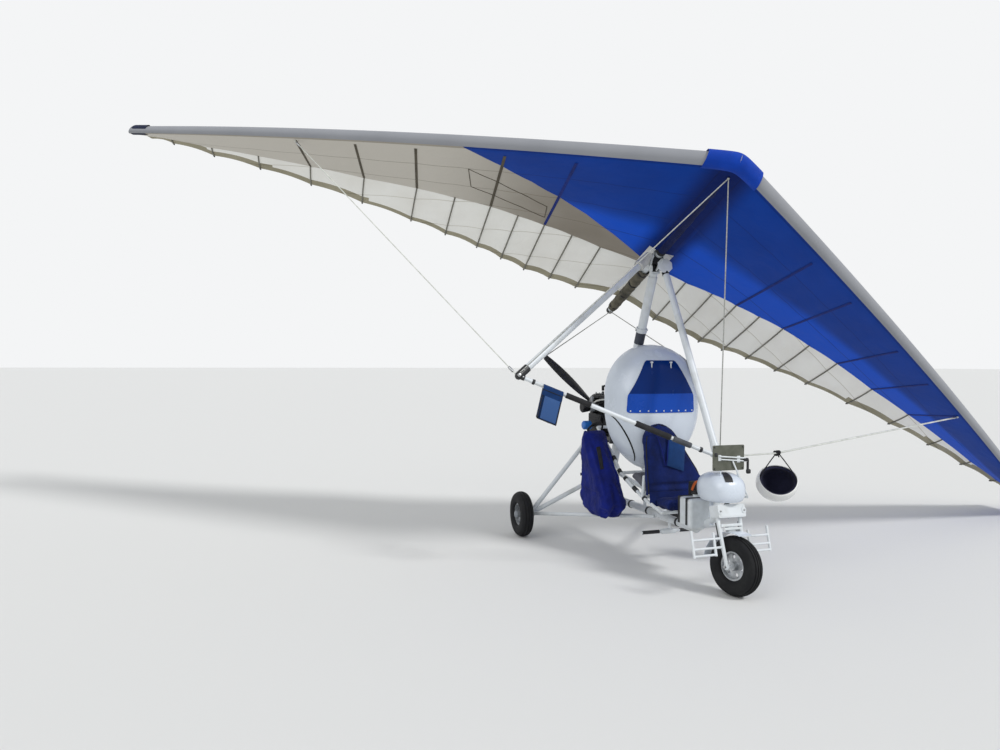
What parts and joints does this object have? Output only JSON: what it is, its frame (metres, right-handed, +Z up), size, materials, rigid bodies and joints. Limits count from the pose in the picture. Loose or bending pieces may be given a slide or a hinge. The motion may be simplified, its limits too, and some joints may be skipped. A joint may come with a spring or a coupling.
{
  "type": "weight-shift microlight aircraft",
  "caption": "Two-seat flex-wing trike microlight on three wheels, its swept sail banked to one side, with rear propeller, fairing and control bar",
  "frame": {"origin": "on the ground under the middle of the whole aircraft's box, wing included", "axes": "+X towards the aircraft's left, +Y towards its tail, +Z up"},
  "size_m": [8.864, 4.2674, 3.8283],
  "materials": {
    "white_tube": "satin",
    "white_shell": "gloss",
    "black_metal": "satin",
    "engine_metal": "satin",
    "tyre": "matte",
    "rim": "satin",
    "blade": "satin",
    "sailcloth": "matte",
    "blue_cloth": "matte",
    "navy_cloth": "matte",
    "seat_cloth": "matte",
    "grey_cloth": "matte",
    "blue_window": "gloss",
    "smoked": "gloss",
    "black_foam": "matte",
    "sleeve": "matte",
    "wire": "satin",
    "tank_plastic": "satin",
    "dark_metal": "satin"
  },
  "bodies": {
    "tricycle": {"frame_keel": "white_tube", "mast": "white_tube", "mast_head": "white_tube", "legs_right": "white_tube", "legs_left": "white_tube", "engine_bearers": "black_metal", "engine_case": "engine_metal", "engine_cylinders": "engine_metal", "reduction_drive": "black_metal", "exhaust": "dark_metal", "seat_frame": "white_tube", "front_seat": "seat_cloth", "rear_seat": "grey_cloth", "fairing": "white_shell", "fairing_window": "blue_window", "pannier": "navy_cloth", "tank": "tank_plastic", "pod": "white_shell", "screen": "smoked", "peg_bar": "white_tube"},
    "nose_leg": {"fork": "white_tube", "mudguard": "white_shell", "footrests": "white_tube"},
    "nose_wheel": {"nose_tyre": "tyre", "nose_rim": "rim"},
    "main_wheel_right": {"tyre_right": "tyre", "rim_right": "rim"},
    "main_wheel_left": {"tyre_left": "tyre", "rim_left": "rim"},
    "propeller": {"propeller": "blade"},
    "hang_link": {"hang_block": "black_metal"},
    "wing": {"sail_right": "sailcloth", "sail_left": "sailcloth", "keel_pocket": "blue_cloth", "wing_keel": "white_tube", "keel_cover": "sleeve", "keel_plug": "black_foam", "apex_bracket": "white_tube", "upright_right": "white_tube", "upright_left": "white_tube", "corner_right": "black_metal", "corner_left": "black_metal", "base_bar": "white_tube", "grips": "black_foam", "bar_bag": "blue_cloth", "side_wires_right": "wire", "side_wires_left": "wire", "front_wires": "wire", "rear_wires": "wire", "kingpost": "white_tube", "nose_cap": "blue_cloth", "helmet": "white_shell"}
  },
  "joints": [
    {"name": "main_wheel_right_spin", "type": "hinge", "parent": "tricycle", "child": "main_wheel_right", "pos_m": [-1.023, 0.17, 0.2], "axis": [1, 0, 0], "continuous": true},
    {"name": "main_wheel_left_spin", "type": "hinge", "parent": "tricycle", "child": "main_wheel_left", "pos_m": [0.589, 0.17, 0.2], "axis": [1, 0, 0], "continuous": true},
    {"name": "nose_leg_steer", "type": "hinge", "parent": "tricycle", "child": "nose_leg", "pos_m": [-0.217, -1.849, 0.2], "axis": [0, 0.2588, 0.9659], "range_deg": [-45, 15]},
    {"name": "nose_wheel_spin", "type": "hinge", "parent": "nose_leg", "child": "nose_wheel", "pos_m": [-0.217, -1.849, 0.2], "axis": [0.9659, 0.25, -0.067], "continuous": true},
    {"name": "propeller_spin", "type": "hinge", "parent": "tricycle", "child": "propeller", "pos_m": [-0.217, 0.429, 1.172], "axis": [0, 1, 0], "continuous": true},
    {"name": "wing_pitch", "type": "hinge", "parent": "tricycle", "child": "hang_link", "pos_m": [-0.217, -0.748, 2.315], "axis": [0.9914, -0.1305, 0], "range_deg": [-3, 12]},
    {"name": "wing_roll", "type": "hinge", "parent": "hang_link", "child": "wing", "pos_m": [-0.21417, -0.72651, 2.3868], "axis": [0.125, 0.9491, -0.289], "range_deg": [-47, 1], "deforming": ["rear_wires"]}
  ]
}
